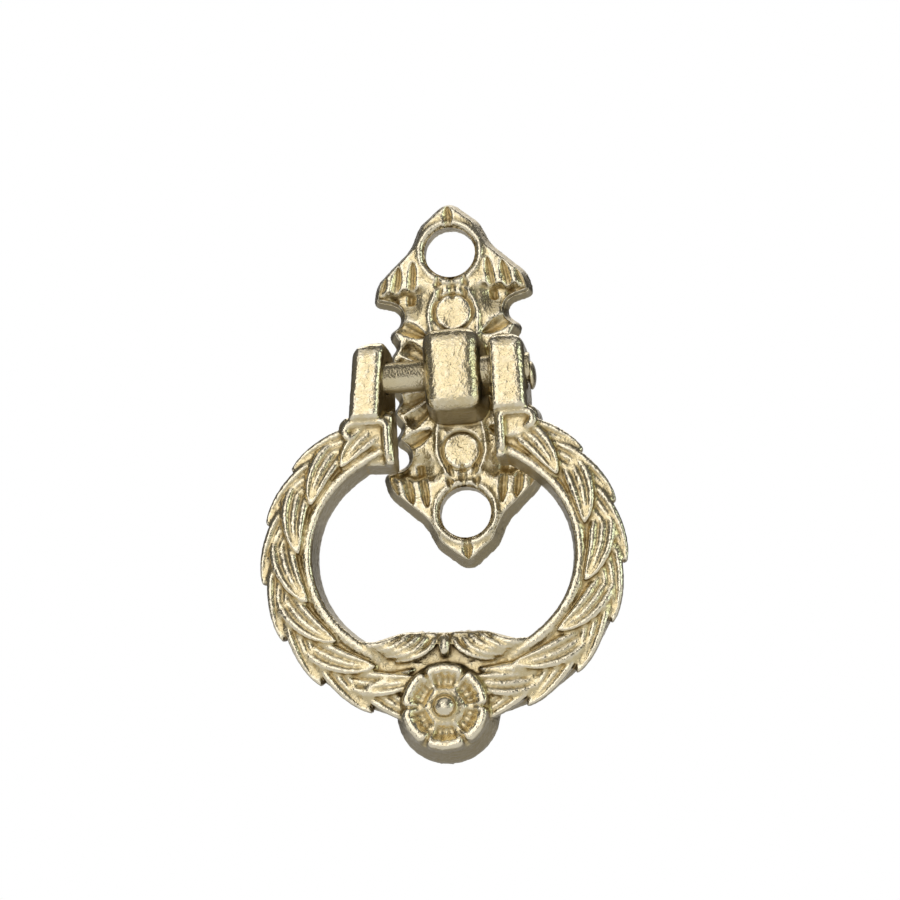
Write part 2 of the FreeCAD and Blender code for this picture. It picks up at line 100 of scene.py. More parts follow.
class BackplateSettings(bpy.types.PropertyGroup):
    thickness: length("Thickness", 2.2, "Mounting surface to the plate's face")
    draft: length("Draft", 0.65, "How far the edge leans in towards the front")
    tip_height: length("Tip height", PLATE_BOX[1].z / MM + 0.37,
                       "Centre to the point of the arrow, unrounded")
    barb_width: length("Barb width", 7.75, "Half the width over the barbs")
    barb_height: length("Barb height", 8.1, "Centre up to the barbs' lower corners")
    petal_reach: length("Petal reach", 6.7, "Centre to the tips of the side petals")
    petal_notch: length("Petal notch", 0.95, "Depth of the notch between two petals")
    petal_pitch: length("Petal pitch", 2.6, "From one side petal to the next")
    hole_offset: length("Hole offset", HOLES["dims"]["spacing_y_mm"] / 2, "Centre to a screw hole")
    hole_radius: length("Hole radius", HOLES["dims"]["hole_r_mm"], "Radius of the screw holes")
    pad_offset: length("Pad offset", 6.65, "Centre to a round pad")
    pad_radius: length("Pad radius", 1.7, "Radius of the round pads")
    vein_depth: length("Vein depth", 0.34, "How deep the barbs' veins are cut")
    flute_depth: length("Flute depth", 0.5, "How deep the petals beside the post are hollowed")
    post_width: length("Post width", 5.8, "Width of the pivot post")
    post_height: length("Post height", 8.4, "Height of the pivot post")
    post_nose: length("Post nose", 2.9, "Post's face in front of the pin's axis")


class PinSettings(bpy.types.PropertyGroup):
    radius: length("Radius", 1.45, "Radius of the pin")
    head_radius: length("Head radius", 1.75, "Radius of the sunk head at the left")
    dome: length("Dome", 0.6, "Height of the peened head at the right")
    dome_radius: length("Dome radius", 1.35, "Radius of the peened head")
    dome_drop: length("Dome drop", 0.75, "How far the peened head lies under the pin's axis")
    sunk_head: length("Sunk head", 0.5, "Thickness of the flush head at the left")


class RingSettings(bpy.types.PropertyGroup):
    width: length("Width", 33.6, "Over the plain rim, without the leaf tips")
    height: length("Height", 30.4, "Over the plain rim")
    drop: length("Drop", 17.6, "Pin's axis to the centre of the rim")
    side_radius: length("Side radius", 14.7, "Radius of the rim's sides")
    opening_width: length("Opening width", 24.6, "Finger opening, at the front")
    opening_height: length("Opening height", 21.1, "Finger opening, at the front")
    opening_drop: length("Opening drop", 17.1, "Pin's axis to the opening's centre")
    opening_radius: length("Opening side radius", 9.4, "Radius of the opening's sides")
    back: length("Back", 3.9, "Depth of the flat back")
    thickness: length("Thickness", 3.2, "Back to the sunk face that the leaves stand on")
    shift: length("Shift", PIN_BOX[0].x / MM + 8.2, "How far the ring lies to one side on its pin")
    lean: turn("Lean", 2.5, "How far the wreath hangs askew from its ears")
    ear_gap: length("Ear gap", 9.2, "Between the ears, at the back")
    ear_width: length("Ear width", 3.6, "Width of an ear at the back")
    leaf_rise: length("Leaf rise", 0.75, "Leaf crests over the sunk face")
    leaf_sweep: turn("Leaf sweep", 36, "Part of the wreath that one leaf covers")
    flower_drop: length("Flower drop", 31.5, "Pin's axis to the flower's centre")
    flower_depth: length("Flower depth", 4.55, "Back to the petals' rims")


class FinishSettings(bpy.types.PropertyGroup):
    # Crest colour: partly the plating rubbed bright on raised points, partly a painted highlight on
    # them.
    crest: colour("Crest colour", (0.95, 0.87, 0.68), "Plating where handling keeps it bright")
    plating: colour("Plating colour", (0.80, 0.68, 0.42), "Pale gold plating")
    # Recess colour: partly a brown tone in the hollows, partly painted shade in them.
    recess: colour("Recess colour", (0.50, 0.35, 0.13), "Warm brown left in the hollows")
    # Painted shade: the dark colour that walls, tops and undersides are given for the shade and dark
    # reflections they show.
    flank: colour("Flank colour", (0.19, 0.15, 0.08), "Duller plating on the side walls")
    # Painted shade: the near black colour laid into the corners that the piece's own shape shelters.
    stain: colour("Stain colour", (0.15, 0.105, 0.05), "Dark stain in sheltered corners")
    roughness: number("Roughness", 0.27, "Roughness of the satin plating")
    grain: length("Grain size", 0.21, "Size of the casting's grain")
    grain_height: length("Grain height", 0.045, "Height of the casting's grain")


class StageSettings(bpy.types.PropertyGroup):
    azimuth: turn("Azimuth", 4.6, "Camera's place to the right of the front")
    elevation: turn("Elevation", -10.65, "Camera's place above the horizontal")
    roll: turn("Roll", -3.5, "Turn of the camera about its own axis")
    distance: length("Distance", 450, "Camera to the point that it looks at")
    aim_x: length("Aim across", -1.26, "Point that the camera looks at")
    aim_z: length("Aim height", -6.11, "Point that the camera looks at")
    lens: number("Lens", 190.9, "Focal length in millimetres")
    floor_depth: length("Floor", -115, "Height of the floor")
    key: number("Key light", 1.0, "Strength of all the lamps")
    surround: number("Surround", 0.10, "Brightness of the room")


class Millimetres:
    """Reads a property group's lengths in millimetres."""

    def __init__(self, settings):
        self.settings = settings

    def __getattr__(self, name):
        value = getattr(self.settings, name)
        return value / MM if self.settings.bl_rna.properties[name].unit == "LENGTH" else value


def at(x, z, depth):
    return Vector((x, -depth, z))


def ramp(low, high, value):
    """Smooth step from 0 at low to 1 at high."""
    share = min(max((value - low) / (high - low), 0.0), 1.0)
    return share * share * (3 - 2 * share)


def link(name, bm):
    mesh = bpy.data.meshes.new(name)
    bm.to_mesh(mesh)
    bm.free()
    obj = bpy.data.objects.new(name, mesh)
    bpy.context.scene.collection.objects.link(obj)
    return obj


def settle(obj, kind, **values):
    """Gives the object one modifier and keeps the mesh that it makes."""
    modifier = obj.modifiers.new(kind.title(), kind)
    for key, value in values.items():
        setattr(modifier, key, value)
    shaped = obj.evaluated_get(bpy.context.evaluated_depsgraph_get())
    mesh = bpy.data.meshes.new_from_object(shaped)
    obj.modifiers.clear()
    old = obj.data
    obj.data = mesh
    bpy.data.meshes.remove(old)


def carved(body, cutter, operation="DIFFERENCE"):
    """The body with the cutter's shape taken out of it, or what the two share."""
    piece, tool = link("piece", body), link("tool", cutter)
    settle(piece, "BOOLEAN", operation=operation, object=tool, solver="EXACT")
    result = bmesh.new()
    result.from_mesh(piece.data)
    for obj in (piece, tool):
        bpy.data.meshes.remove(obj.data)
    return result


def add(whole, part):
    """Puts a part's closed shells into the whole."""
    mesh = bpy.data.meshes.new("part")
    part.to_mesh(mesh)
    part.free()
    whole.from_mesh(mesh)
    bpy.data.meshes.remove(mesh)


def softened(bm, voxel, passes):
    """The same shape with its corners rounded soft."""
    obj = link("soft", bm)
    settle(obj, "REMESH", mode="VOXEL", voxel_size=voxel)
    settle(obj, "SMOOTH", factor=0.5, iterations=passes)
    result = bmesh.new()
    result.from_mesh(obj.data)
    bpy.data.meshes.remove(obj.data)
    return result


def tube(bm, along, around, place):
    """Closed skin with filled ends. place(u, v) gives its points, with u along it and v round it,
    both 0 to 1."""
    made = bmesh.ops.create_grid(bm, x_segments=along, y_segments=around, size=1)["verts"]
    for vert in made:
        vert.co = place(vert.co.x / 2 + 0.5, vert.co.y / 2 + 0.5)
    bmesh.ops.remove_doubles(bm, verts=made, dist=1e-4)
    edges = {edge for vert in made if vert.is_valid for edge in vert.link_edges}
    open_edges = [edge for edge in edges if edge.is_boundary]
    bmesh.ops.holes_fill(bm, edges=open_edges, sides=0)


def strand(bm, path, radii, steps=24, around=14):
    """Round strand through the points of a path, with a radius at each."""
    def blend(values, share):
        place = share * (len(values) - 1)
        i = min(int(place), len(values) - 2)
        t = place - i
        a, b = values[max(i - 1, 0)], values[i]
        c, d = values[i + 1], values[min(i + 2, len(values) - 1)]
        bend, twist = 2 * a - 5 * b + 4 * c - d, 3 * b - a - 3 * c + d
        return b + 0.5 * t * ((c - a) + t * (bend + t * twist))

    def place(u, v):
        centre = blend(path, u)
        along = (blend(path, min(u + 0.02, 1.0)) - blend(path, max(u - 0.02, 0.0))).normalized()
        across = along.cross(Vector((0, -1, 0))).normalized()
        outward = across.cross(along)
        radius = blend(radii, u) * max(1 - (2 * abs(u - 0.5)) ** 12, 0.05) ** 0.5
        angle = v * math.tau
        return centre + across * radius * math.cos(angle) + outward * radius * math.sin(angle)

    tube(bm, steps, around, place)


def rounded(corners, inset=0.0, steps=6):
    """Points of a closed outline with round corners. corners are (x, z, radius) in order to the
    left, and inset moves the whole line inwards."""
    runs = []
    for (x0, z0, _), (x1, z1, _) in zip(corners, corners[1:] + corners[:1]):
        size = math.hypot(x1 - x0, z1 - z0)
        dx, dz = (x1 - x0) / size, (z1 - z0) / size
        runs.append((x0 - dz * inset, z0 + dx * inset, dx, dz))
    points = []
    for i, (ax, az, adx, adz) in enumerate(runs):
        bx, bz, bdx, bdz = runs[(i + 1) % len(runs)]
        bend = adx * bdz - adz * bdx
        along = ((bx - ax) * bdz - (bz - az) * bdx) / bend
        radius = max(corners[(i + 1) % len(corners)][2] - math.copysign(inset, bend), 0.08)
        turned = math.atan2(bend, adx * bdx + adz * bdz)
        reach = radius * math.tan(abs(turned) / 2)
        x, z = ax + adx * (along - reach), az + adz * (along - reach)
        heading = math.atan2(adz, adx)
        chord = 2 * radius * math.sin(abs(turned) / steps / 2)
        points.append((x, z))
        for step in range(steps):
            way = heading + turned * (step + 0.5) / steps
            x, z = x + chord * math.cos(way), z + chord * math.sin(way)
            points.append((x, z))
    return points


def slab(bm, corners, levels):
    """Block with a rounded outline. levels are (inset, depth) from the back to the front."""
    outlines = [[at(x, z, depth) for x, z in rounded(corners, inset)] for inset, depth in levels]
    count = len(outlines[0])

    def place(u, v):
        return outlines[round(u * (len(levels) - 1))][round(v * count) % count]

    tube(bm, len(levels) - 1, count, place)


def turned_block(side_view, plan, front_view):
    """Block with rounded outlines: (depth, z) from the side, (x, depth) from above and (x, z) from
    the front."""
    shapes = []
    for corners, place in ((side_view, lambda u, v, w: at(w, v, u)),
                           (plan, lambda u, v, w: at(u, w, v)),
                           (front_view, lambda u, v, w: at(u, v, w))):
        outline = rounded(corners)
        count = len(outline)
        shape = bmesh.new()
        tube(shape, 1, count, lambda u, v: place(*outline[round(v * count) % count], (u - 0.5) * 40))
        bmesh.ops.recalc_face_normals(shape, faces=shape.faces)
        shapes.append(shape)
    return carved(carved(*shapes[:2], "INTERSECT"), shapes[2], "INTERSECT")


def drilled(body, reach):
    """The body with the pin's bore through it, as far as reach on both sides of the middle."""
    bore = bmesh.new()
    place = Matrix.Translation(at(0, 0, PIN_DEPTH)) @ Matrix.Rotation(math.pi / 2, 4, "Y")
    bmesh.ops.create_cone(bore, cap_ends=True, segments=48, radius1=BORE_RADIUS, radius2=BORE_RADIUS,
                          depth=2 * reach, matrix=place)
    return carved(body, bore)


def stud(bm, radius, x, z, back, front):
    """Cylinder that points to the front."""
    place = Matrix.Translation(at(x, z, (back + front) / 2)) @ Matrix.Rotation(math.pi / 2, 4, "X")
    bmesh.ops.create_cone(bm, cap_ends=True, segments=64, radius1=radius, radius2=radius,
                          depth=front - back, matrix=place)


def finish_piece(obj, triangles, body, node, back=None):
    """Thins a piece, marks its crests and hollows, scales it to metres and hands it over."""
    obj.data.calc_loop_triangles()
    share = triangles / max(len(obj.data.loop_triangles), 1)
    if share < 1:
        settle(obj, "DECIMATE", ratio=share)
    obj.data.shade_smooth()
    mark_relief(obj, back)
    obj.data.transform(Matrix.Scale(MM, 4))
    obj.data.materials.clear()
    obj.data.materials.append(plated_metal())
    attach(obj, body)
    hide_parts(node)


def roughen(obj, height, pitch, back):
    """Gives a casting its shallow lumps, all but its ground back."""
    lumps = bpy.data.textures.new("lumps", "CLOUDS")
    lumps.noise_scale = pitch
    settle(obj, "DISPLACE", texture=lumps, texture_coords="LOCAL", strength=height, mid_level=0.5)
    bpy.data.textures.remove(lumps)
    for vert in obj.data.vertices:
        if abs(vert.co.y + back) < height:
            vert.co.y = -back


def mark_relief(obj, back):
    """Stores how far each point stands over (1) or under (0) its surroundings, with 0.5 for level.
    A casting's back is given as a depth and is left flat. A turned piece has none."""
    relief = obj.data.attributes.new("relief", "FLOAT", "POINT")
    values = [TURNED_RELIEF] * len(obj.data.vertices)
    if back is not None:
        settled = obj.copy()
        settled.data = obj.data.copy()
        bpy.context.scene.collection.objects.link(settled)
        settle(settled, "SMOOTH", factor=0.5, iterations=SETTLING_PASSES)
        ground = {vert.index for vert in obj.data.vertices if abs(vert.co.y + back) < 0.0005}
        for vert, calm in zip(obj.data.vertices, settled.data.vertices):
            if vert.index not in ground:
                rise = (vert.co - calm.co).dot(vert.normal)
                values[vert.index] = min(max(0.5 + rise / RELIEF_SPAN, 0.0), 1.0)
        for face in obj.data.polygons:
            if ground.issuperset(face.vertices):
                face.use_smooth = False
        mesh = settled.data
        bpy.data.objects.remove(settled)
        bpy.data.meshes.remove(mesh)
    relief.data.foreach_set("value", values)


def backplate_outline(size):
    """Arrow-shaped leaf, the same above and below and on both sides."""
    notch = size.petal_reach - size.petal_notch
    quarter = [(notch, size.petal_pitch * 0.5, 0.25),
               (size.petal_reach, size.petal_pitch, 0.8),
               (notch, size.petal_pitch * 1.5, 0.25),
               (size.petal_reach - 0.1, size.petal_pitch * 2 + 0.1, 0.8),
               (3.7, size.barb_height - 1.1, 0.95),
               (size.barb_width, size.barb_height, 0.75),
               (size.barb_width - 0.5, size.hole_offset - 2.2, 2.6),
               (size.hole_radius + 1.5, size.hole_offset + 0.9, 3.5),
               (size.hole_radius + 0.5, size.hole_offset + 3.1, 2.4)]
    half = [(size.petal_reach, 0, 0.8)] + quarter + [(0, size.tip_height, 1.4)]
    upper = half + [(-x, z, r) for x, z, r in reversed(half[:-1])]
    return upper + [(-x, -z, r) for x, z, r in upper[1:-1]]


def hollow(x, z, start, end, half_width, open_end=False):
    """How deep a point lies in a leaf-shaped hollow from start to end, 0 to 1. An open end keeps
    its width and runs out over the edge."""
    (x0, z0), (x1, z1) = start, end
    dx, dz = x1 - x0, z1 - z0
    size = math.hypot(dx, dz)
    along = ((x - x0) * dx + (z - z0) * dz) / size ** 2
    if not 0 < along < (1.4 if open_end else 1):
        return 0.0
    aside = abs((x - x0) * dz - (z - z0) * dx) / size
    wide = half_width * math.sin(math.pi * min(along, 0.5 if open_end else 1)) ** 0.6
    return max(1 - (aside / max(wide, 1e-6)) ** 2, 0.0) ** 1.3


def barb_edge(size, x):
    """Height at which a barb's face ends in scallops, over the lower neck."""
    return size.hole_offset - 3.75 - 0.1 * (x - 5) + 0.18 * math.cos((x - 4.55) * math.tau / 1.55)


def backplate_relief(size, x, z):
    """Height that the ornament gives the plate's face at a point, in front of the plain face."""
    x, z = abs(x), abs(z)
    hole = size.hole_offset
    rise = 0.0
    for root, foot, wide in (((3.5, hole - 0.7), (3.85, hole - 3.6), 0.45),
                             ((4.9, hole - 1.1), (5.4, hole - 3.7), 0.5),
                             ((6.2, hole - 1.9), (6.85, hole - 4.0), 0.42)):
        rise -= size.vein_depth * hollow(x, z, root, foot, wide, True)
    for middle in (0, 1.25):
        rise -= 0.22 * hollow(x, z, (middle, hole - 2.3), (middle * 0.95, hole - 4.6), 0.46)
    rise -= 0.3 * hollow(x, z, (0, hole + 4.5), (0, hole + 2.2), 0.5)
    rise -= size.flute_depth * hollow(x, z, (2.7, 4.5), (6.3, 6.3), 0.8)
    neck = ramp(size.petal_pitch * 2 + 0.5, size.petal_pitch * 2 + 3.2, z + 0.35 * (x - 4))
    neck *= ramp(0.4, -0.3, z - barb_edge(size, x)) * ramp(1.9, 4.1, x)
    rise -= 0.65 * neck
    if 3.8 < z < hole - 2.6:
        lyre = 2.3 - (0.13 if z > 6.2 else 0.05) * (z - 6.2) ** 2
        rise += 0.2 * math.exp(-((x - lyre) / 0.26) ** 2) * ramp(hole - 2.6, hole - 3.6, z)
    from_pad = math.hypot(x, z - size.pad_offset) - size.pad_radius
    rise -= 0.18 * math.exp(-((from_pad - 0.12) / 0.12) ** 2)
    from_hole = math.hypot(x, z - hole) - size.hole_radius
    if from_hole < 1.3:
        angle = math.atan2(z - hole, x)
        rise += (0.16 * math.exp(-((from_hole - 0.5) / 0.25) ** 2)
                 - 0.35 * max(1 - from_hole / 0.3, 0.0) ** 2)
        rise += 0.04 * math.sin(angle * 84 + 2 * math.sin(angle * 9)) * ramp(1.3, 0.3, from_hole)
    bearing = math.degrees(math.atan2(z, x)) / 19.0
    reach = math.hypot(x, z)
    if bearing < 2.6:
        hollowed = max(1 - (2 * (bearing - round(bearing))) ** 2, 0.0)
        fade = ramp(2.2, 3.4, reach) * ramp(size.petal_reach - 0.35, size.petal_reach - 1.5, reach)
        rise -= size.flute_depth * hollowed * fade * ramp(2.6, 2.3, bearing)
    return rise + 0.12 * noise.noise(Vector((x * 0.9, z * 0.9, 1.7)))


class HANDLE_OT_backplate(bpy.types.Operator):
    """Makes the cast backplate with its pivot post"""
    bl_idname = "handle.backplate"
    bl_label = "Backplate"

    def execute(self, context):
        size = Millimetres(context.scene.handle_backplate)
        plate = bmesh.new()
        slab(plate, backplate_outline(size), [(0, 0), (size.draft, size.thickness)])
        holes = bmesh.new()
        for side in SIDES:
            stud(holes, size.hole_radius, 0, side * size.hole_offset, -1, size.thickness + 1)
        plate = carved(plate, holes)
        for side in SIDES:
            stud(plate, size.pad_radius, 0, side * size.pad_offset, 1, size.thickness + 0.12)
        wide, tall = size.post_width / 2, size.post_height / 2
        nose = PIN_DEPTH + size.post_nose
        post = bmesh.new()
        soft = 1.5
        cheek = [(soft * (1 - math.cos(a)), nose - soft * (1 - math.sin(a)))
                 for a in (math.radians(9 * step) for step in range(11))]
        corner = 1.45
        slab(post, [(-wide, -tall, corner), (wide, -tall, corner), (wide, tall, corner),
                    (-wide, tall, corner)],
             [(0, 0), (0.06, 3.0), (0.12, 5.0)] + [(0.22 + inset, depth) for inset, depth in cheek])
        add(plate, drilled(softened(post, 0.15, 50), 6))
        obj = link("backplate_casting", plate)
        settle(obj, "REMESH", mode="VOXEL", voxel_size=0.112)
        self.press_ornament(obj, size)
        settle(obj, "SMOOTH", factor=0.4, iterations=2)
        roughen(obj, LUMP_HEIGHT, 0.45, 0)
        finish_piece(obj, PIECE_TRIANGLES, "plate", "backplate", 0)
        return {"FINISHED"}

    def press_ornament(self, obj, size):
        """Moves the points of the plate's face by the height of its ornament."""
        sheet = bmesh.new()
        sheet.from_mesh(obj.data)
        for vert in sheet.verts:
            facing = ramp(0.15, 0.6, -vert.normal.y)
            if facing > 0 and 1.3 < -vert.co.y < size.thickness + 0.2:
                vert.co.y -= facing * backplate_relief(size, vert.co.x, vert.co.z)
        sheet.to_mesh(obj.data)
        sheet.free()


class HANDLE_OT_pin(bpy.types.Operator):
    """Makes the hinge pin, sunk at its left end and peened at its right"""
    bl_idname = "handle.pin"
    bl_label = "Hinge pin"

    def execute(self, context):
        size = Millimetres(context.scene.handle_pin)
        left, right = PIN_BOX[0].x / MM, PIN_BOX[1].x / MM
        seat = right - size.dome
        dome = [(seat, 0), (seat, size.dome_radius - 0.12), (seat + 0.1, size.dome_radius)]
        steps = 8
        for step in range(1, steps + 1):
            angle = math.pi / 2 * step / steps
            dome.append((seat + 0.1 + (size.dome - 0.1) * math.sin(angle),
                         size.dome_radius * math.cos(angle)))
        bm = bmesh.new()
        self.turn(bm, [(left, 0), (left, size.head_radius - 0.1), (left + 0.06, size.head_radius - 0.03),
                       (left + size.sunk_head, size.radius), (seat + 0.06, size.radius),
                       (seat + 0.06, 0)], 0)
        self.turn(bm, dome, -size.dome_drop)
        bmesh.ops.recalc_face_normals(bm, faces=bm.faces)
        sharp = [edge for edge in bm.edges if edge.calc_face_angle(0) > 0.7]
        bmesh.ops.bevel(bm, geom=sharp, offset=0.05, affect="EDGES", segments=2, profile=0.5,
                        material=-1)
        obj = link("hinge_pin_rod", bm)
        finish_piece(obj, PIECE_TRIANGLES, "pin", "hinge_pin")
        return {"FINISHED"}

    def turn(self, bm, profile, height):
        """Shell turned from (x, radius) points about a line beside the pin's axis."""
        verts = [bm.verts.new((x, -PIN_DEPTH, height + radius)) for x, radius in profile]
        edges = [bm.edges.new(pair) for pair in zip(verts, verts[1:])]
        bmesh.ops.spin(bm, geom=verts + edges, cent=(0, -PIN_DEPTH, height), axis=(1, 0, 0),
                       angle=math.tau, steps=96, use_merge=True)
        bmesh.ops.remove_doubles(bm, verts=bm.verts, dist=1e-4)


class Oval:
    """Outline of four tangent arcs, flatter above and below than at its sides."""

    def __init__(self, width, height, side_radius, drop):
        self.aside = width / 2 - side_radius
        shoulder = height / 2 - side_radius
        self.rise = (self.aside ** 2 - shoulder ** 2) / (2 * shoulder)
        self.lean = math.atan2(self.aside, self.rise)
        self.side = side_radius
        self.cap = height / 2 + self.rise
        self.drop = drop

    def point(self, angle):
        """Point of the line at an angle from the top, seen from its centre."""
        ux, uz = abs(math.sin(angle)), abs(math.cos(angle))
        reach = math.sqrt(self.cap ** 2 - (self.rise * ux) ** 2) - self.rise * uz
        if ux * reach > self.aside + self.side * math.sin(self.lean):
            reach = self.aside * ux + math.sqrt(self.side ** 2 - (self.aside * uz) ** 2)
        return Vector((math.sin(angle) * reach, math.cos(angle) * reach - self.drop))


class Wreath:
    """Shells of the wreath, in its own upright place on the pin's axis."""

    # Tip angles in degrees from the top: the first leaf's, and the step from each to the next.
    INNER_TIPS = {-1: (48.3, 20.0), 1: (56.5, 23.0)}
    OUTER_TIPS = {-1: (58.0, 19.2), 1: (53.0, 19.7)}
    INNER_COUNT = {-1: 7, 1: 6}
    OUTER_COUNT = 7

    def __init__(self, size):
        self.size = size
        self.face = size.back + size.thickness
        self.outer = Oval(size.width, size.height, size.side_radius, size.drop)
        self.inner = Oval(size.opening_width, size.opening_height, size.opening_radius,
                          size.opening_drop)
        self.bm = bmesh.new()

    def across(self, angle, share):
        """Point of the wreath's face: share is 0 at the opening and 1 at the outer line."""
        return self.inner.point(angle).lerp(self.outer.point(angle), share)

    def crown(self, share):
        """Depth of the sunk face, which falls away to the outer side."""
        return self.face - 0.55 * ramp(0.55, 1.05, share)

    def band(self):
        """The plain body with the moulding round its opening."""
        back = self.size.back
        section = [(-0.1, 0.0, 0), (-0.02, 3.1, 0.1), (-0.005, 3.1, 0.32), (0.02, 3.1, 0.47),
                   (0.06, 3.1, 0.54), (0.1, 3.1, 0.54), (0.14, 3.12, 0.46), (0.18, 3.15, 0.3),
                   (0.21, 3.17, 0.1), (0.235, 3.18, 0), (0.3, 3.22, 0), (0.5, 3.2, 0),
                   (0.66, 2.95, 0), (0.78, 2.55, 0), (0.85, 1.9, 0), (0.93, 0, 0)]
        start, end = math.radians(29), math.radians(331)
        count = len(section)

        def place(u, v):
            share, depth, bead = section[round(v * count) % count]
            angle = start + (end - start) * u
            point = self.across(angle, share)
            moulding = bead * ramp(math.radians(26), math.radians(40), abs(angle - math.pi))
            return at(point.x, point.y, back + depth + moulding)

        tube(self.bm, 220, count, place)

    def leaf(self, side, tip, start, end, width, rise, flare):
        """One leaf, root to tip, with raised rims and a midrib. start and end are its centre
        line's shares of the band, and flare is how far its outer wall spreads to the back."""
        sweep = self.size.leaf_sweep
        tip = math.radians(tip)
        top, wall, lip, rim_place = 0.76, 0.12, 0.2, 0.68

        def lane(u):
            return start + (end - start) * max(u, 0) ** 1.5

        def centre(u):
            return self.across(side * (tip - sweep * (1 - u)), lane(u))

        def place(u, v):
            middle = centre(u)
            along = (centre(u + 0.02) - centre(u - 0.02)).normalized()
            aside = Vector((-along.y, along.x)) * -side
            form = (0.5 + 0.5 * ramp(0, 0.5, u)) * max(1 - u ** 3.6, 0.0) ** 0.75
            half = max(width / 2 * form, 0.04)
            crest = self.crown(lane(u)) + rise * (0.05 + 0.95 * ramp(0, 0.75, u))
            if v < top:
                across = 2 * v / top - 1
                rim = abs(across) / rim_place
                depth = crest - 0.27 * form * math.sin(math.pi * min(rim, 1.0)) ** 4
                depth -= 0.06 * max(1 - rim, 0.0) + 0.8 * max(rim - 1, 0.0) ** 1.8
                return at(*(middle + aside * half * across), depth)
            if v < top + wall:
                low = (v - top) / wall
                spread = half + flare * low
                depth = crest - lip + (self.foot(flare) - crest + lip) * low
                return at(*(middle + aside * spread), depth)
            if v < 1.0:
                low = 1 - (v - top - wall) / (1 - top - wall)
                return at(*(middle - aside * half), crest - lip + (self.foot(0) - crest + lip) * low)
            return place(u, 0.0)

        tube(self.bm, 30, 34, place)

    def foot(self, flare):
        """Depth at which a leaf's wall ends: the back for a wall that spreads."""
        return self.size.back if flare else self.face - 0.8

    def leaves(self):
        rise = self.size.leaf_rise
        for side in SIDES:
            first, step = self.OUTER_TIPS[side]
            for i in range(self.OUTER_COUNT):
                self.leaf(side, first + step * i, 0.52, 1.03, 2.45, rise * 0.75, 0.45)
            first, step = self.INNER_TIPS[side]
            for i in range(self.INNER_COUNT[side]):
                self.leaf(side, first + step * i, 0.72, 0.25, 2.6, rise, 0.0)

    def flower(self):
        """Six cupped petals with rolled rims round a beaded button, as one tapered boss."""
        rim = self.size.back + self.size.flower_depth
        middle = -self.size.flower_drop

        front_share, widest = 0.85, 4.15

        def place(u, v):
            angle = v * math.tau
            lean = (angle - math.pi / 2 + math.pi / 6) % (math.pi / 3) - math.pi / 6
            parted = ramp(0.62, 1.0, abs(lean) / (math.pi / 6))
            edge = 4.1 - 0.4 * parted ** 2
            if u < front_share:
                radius = edge * (u / front_share)
                depth = rim + self.petal_height(radius, lean, angle, edge)
            else:
                low = (u - front_share) / 0.15
                radius = edge + (widest - edge) * min(low / 0.2, 1.0) + 0.7 * max(low - 0.2, 0.0) / 0.8
                depth = rim - 0.6 - (self.size.flower_depth - 0.6) * low
            return at(radius * math.cos(angle), middle + radius * math.sin(angle), depth)

        tube(self.bm, 84, 288, place)

    def petal_height(self, radius, lean, angle, edge):
        """Height of the flower's front over its petals' rims."""
        button, knob = 1.72, 1.02
        if radius < knob:
            return -0.12 + 0.85 * math.sqrt(1 - (radius / knob) ** 2)
        if radius < button:
            beads = 0.08 * math.exp(-((radius - button + 0.16) / 0.12) ** 2)
            beads *= 1 + 0.7 * math.cos(angle * 26)
            return -0.12 - 0.3 * (radius - knob) / (button - knob) + beads
        across = abs(lean) / (math.pi / 6)
        along = (radius - button) / (edge - button)
        dish = (0.42 + 0.33 * ramp(0, 0.15, along)) * ramp(0.72, 0.3, along) * (1 - 0.5 * across ** 3)
        ribs = 0.09 * math.cos(lean * 30 + math.sin(angle * 5))
        ribs *= ramp(0.05, 0.25, along)
        ribs *= ramp(0.7, 0.45, along)
        roll = 0.6 * max((along - 0.82) / 0.18, 0.0) ** 2.5
        parting = 0.55 * ramp(0.88, 1.0, across) * ramp(0.25, 0.7, along)
        return -dish + ribs - roll - parting

    # Right half's ridges of the palmette, from the flower's centre: (x, z) from top to end.
    RIDGES = (((0.62, 7.1), (0.85, 6.3), (1.35, 5.5), (2.2, 4.95), (3.4, 4.6), (4.8, 4.5)),
              ((1.45, 7.2), (1.8, 6.4), (2.5, 5.55), (3.4, 5.1), (4.5, 4.95), (5.8, 4.95)),
              ((2.1, 7.25), (2.45, 6.65), (3.15, 5.95), (4.1, 5.45), (5.2, 5.3), (6.5, 5.35)),
              ((2.95, 7.15), (3.4, 6.65), (4.2, 6.05), (5.1, 5.65), (6.1, 5.6), (7.2, 5.75)),
              ((3.9, 6.95), (4.5, 6.55), (5.3, 6.15), (6.2, 5.95), (7.1, 6.0), (7.9, 6.2)))

    # Long leaves between the palmette and the flower, as (x, z) from the flower's centre.
    RUNNERS = (((-2.9, 3.6), (-4.0, 3.15), (-5.2, 2.7), (-6.4, 2.2), (-7.5, 1.7)),
               ((3.1, 3.5), (4.4, 3.4), (5.8, 3.5), (7.2, 3.7), (8.6, 4.0)))

